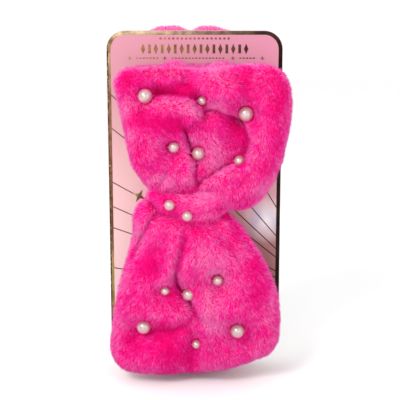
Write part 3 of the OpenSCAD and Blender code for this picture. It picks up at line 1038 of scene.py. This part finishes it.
paint(pearl_material(), *["%s_pearl_%d" % (part, i + 1)
                          for part, count in PEARL_COUNT.items() for i in range(count)])
paint(thread_material(), "upper_threads", "lower_threads", "knot_threads", "knot_stitches")
paint(board_material(), "card_board")

DARK_EDGE_SPAN = (-0.0519, -0.0505)  # x of the card's left edge and of the foil just inside it, metres


def foil_material(name, left_stops, right_stops, rough, span=(-0.03, 0.042)):
    """Stamped foil whose tone changes along the card, as painted reflections: lighter or darker with height
    and between the left and right of the card, mottled by noise.
    """
    m, t, b = material(name, srgb(150, 112, 78), rough, 0.95)
    base = two_sided(t, (0.0, 0.21), left_stops, right_stops, span)
    n = noise_node(t, 190, 4)
    dark = ramp(t, n.outputs["Fac"], [(0.36, (0.5, 0.46, 0.42, 1)), (0.62, WHITE)])
    tone = mix_colour(t, 1.0, base, dark.outputs["Color"], "MULTIPLY")
    # darker along the cut outer edge, with bright specks in it as painted glints
    edge = ramp(t, axis_range(t, "X", *DARK_EDGE_SPAN), [(0.0, WHITE), (0.55, WHITE), (0.75, BLACK)])
    specks = noise_node(t, 1500, 2)
    dark_edge_glints = ramp(t, specks.outputs["Fac"], [(0.57, srgb(36, 27, 20)), (0.68, srgb(206, 188, 142))])
    t.links.new(mix_colour(t, edge.outputs["Color"], tone, dark_edge_glints.outputs["Color"]), b.inputs["Base Color"])
    return m


def print_material():
    """Satin pink print, pinker at the top and paler lower down; painted paler low on the left, lifting the
    bow's shadow there, and darker on the right as painted shade from the bow; one pale patch of painted
    iridescent sheen low on the right.
    """
    m, t, b = material("card_print", srgb(160, 110, 120), 0.4, Coat_Weight=0.12, Coat_Roughness=0.25)
    base = two_sided(
        t, (0.01, 0.205),
        [(0.0, srgb(224, 196, 195)), (0.35, srgb(216, 182, 182)), (0.62, srgb(203, 160, 161)),
         (0.85, srgb(187, 126, 138)), (1.0, srgb(181, 115, 132))],
        [(0.0, srgb(178, 128, 130)), (0.2, srgb(146, 92, 92)), (0.34, srgb(150, 96, 96)),
         (0.44, srgb(190, 138, 142)), (0.54, srgb(200, 150, 156)), (0.8, srgb(190, 122, 140)),
         (1.0, srgb(186, 112, 138))],
        (-0.03, 0.045))
    pos = t.nodes.new("ShaderNodeTexCoord")
    dist = t.nodes.new("ShaderNodeVectorMath")
    dist.operation = "DISTANCE"
    t.links.new(pos.outputs["Object"], dist.inputs[0])
    dist.inputs[1].default_value = (0.044, 0.0, 0.091)
    near = ramp(t, dist.outputs["Value"], [(0.0, WHITE), (0.016, BLACK)])
    wave = noise_node(t, 70, 1, (1, 1, 0.6))
    tint = ramp(t, wave.outputs["Fac"], [
        (0.3, srgb(226, 210, 214)), (0.46, srgb(236, 234, 236)), (0.58, srgb(196, 204, 226)),
        (0.68, srgb(206, 196, 224)), (0.8, srgb(230, 220, 222))])
    t.links.new(mix_colour(t, near.outputs["Color"], base, tint.outputs["Color"]), b.inputs["Base Color"])
    return m


paint(foil_material(
    "foil_border",
    [(0.0, srgb(176, 156, 98)), (0.29, srgb(172, 150, 96)), (0.37, srgb(112, 72, 54)),
     (0.66, srgb(128, 84, 66)), (0.80, srgb(134, 94, 72)), (0.90, srgb(160, 134, 100)),
     (0.95, srgb(120, 98, 66)), (1.0, srgb(206, 186, 156))],
    [(0.0, srgb(40, 28, 24)), (0.88, srgb(34, 24, 20)), (0.94, srgb(40, 28, 22)), (1.0, srgb(74, 56, 42))],
    0.26), "foil_border")
paint(foil_material(
    "foil_rays",
    [(0.0, srgb(104, 52, 42)), (1.0, srgb(96, 48, 38))],
    [(0.0, srgb(40, 22, 20)), (1.0, srgb(36, 22, 20))], 0.35), "foil_rays")
paint(foil_material(
    "foil_marks",
    [(0.0, srgb(150, 112, 74)), (1.0, srgb(146, 106, 70))],
    [(0.0, srgb(44, 28, 26)), (1.0, srgb(44, 28, 26))], 0.35), "foil_ornament")
# painted highlight on the large star's left arms and painted shade on its right ones
paint(foil_material(
    "foil_star",
    [(0.0, srgb(96, 66, 48)), (0.486, srgb(92, 60, 44)), (0.512, srgb(206, 180, 142)),
     (1.0, srgb(150, 112, 74))],
    [(0.0, srgb(96, 52, 46)), (0.49, srgb(150, 62, 58)), (0.515, srgb(112, 82, 58)),
     (1.0, srgb(120, 84, 60))],
    0.3, span=(-0.0355, -0.0315)), "foil_stars")
paint(print_material(), "card_print")

# ---------------------------------------------------------------- floor and light
FLOOR_RADIUS = 1.6
FLOOR_SIDES = 64
WORLD_LIGHT = 1.05
floor_mat, _, _ = material("studio_floor", (0.9, 0.9, 0.9, 1), 0.9)
ring = [(FLOOR_RADIUS * math.cos(a), FLOOR_RADIUS * math.sin(a), 0)
        for a in np.linspace(0, 2 * math.pi, FLOOR_SIDES, endpoint=False)]
fm = bpy.data.meshes.new("studio_floor")
fm.from_pydata(ring, [], [list(range(FLOOR_SIDES))])
floor = link("studio_floor", fm)
floor.location.z = -0.0004  # a hair under the part, so that the two don't share a plane
fm.materials.append(floor_mat)

world = bpy.data.worlds.new("studio")
world.use_nodes = True
world.node_tree.nodes["Background"].inputs["Color"].default_value = WHITE
world.node_tree.nodes["Background"].inputs["Strength"].default_value = WORLD_LIGHT
scene.world = world
scene.view_settings.view_transform = "Standard"


def area(name, loc, size, energy, target=(0, -0.02, 0.1)):
    """Square soft light, in metres and watts, turned to the middle of the part."""
    d = bpy.data.lights.new(name, "AREA")
    d.size = size
    d.energy = energy
    o = bpy.data.objects.new(name, d)
    scene.collection.objects.link(o)
    o.location = loc
    o.rotation_euler = (Vector(target) - Vector(loc)).to_track_quat("-Z", "Y").to_euler()


area("key", (-0.55, -0.9, 0.85), size=0.4, energy=9.4)
area("front", (-0.14, -1.0, 0.28), size=0.16, energy=1.3)
area("fill", (0.6, -1.0, 0.3), size=0.9, energy=3.0)
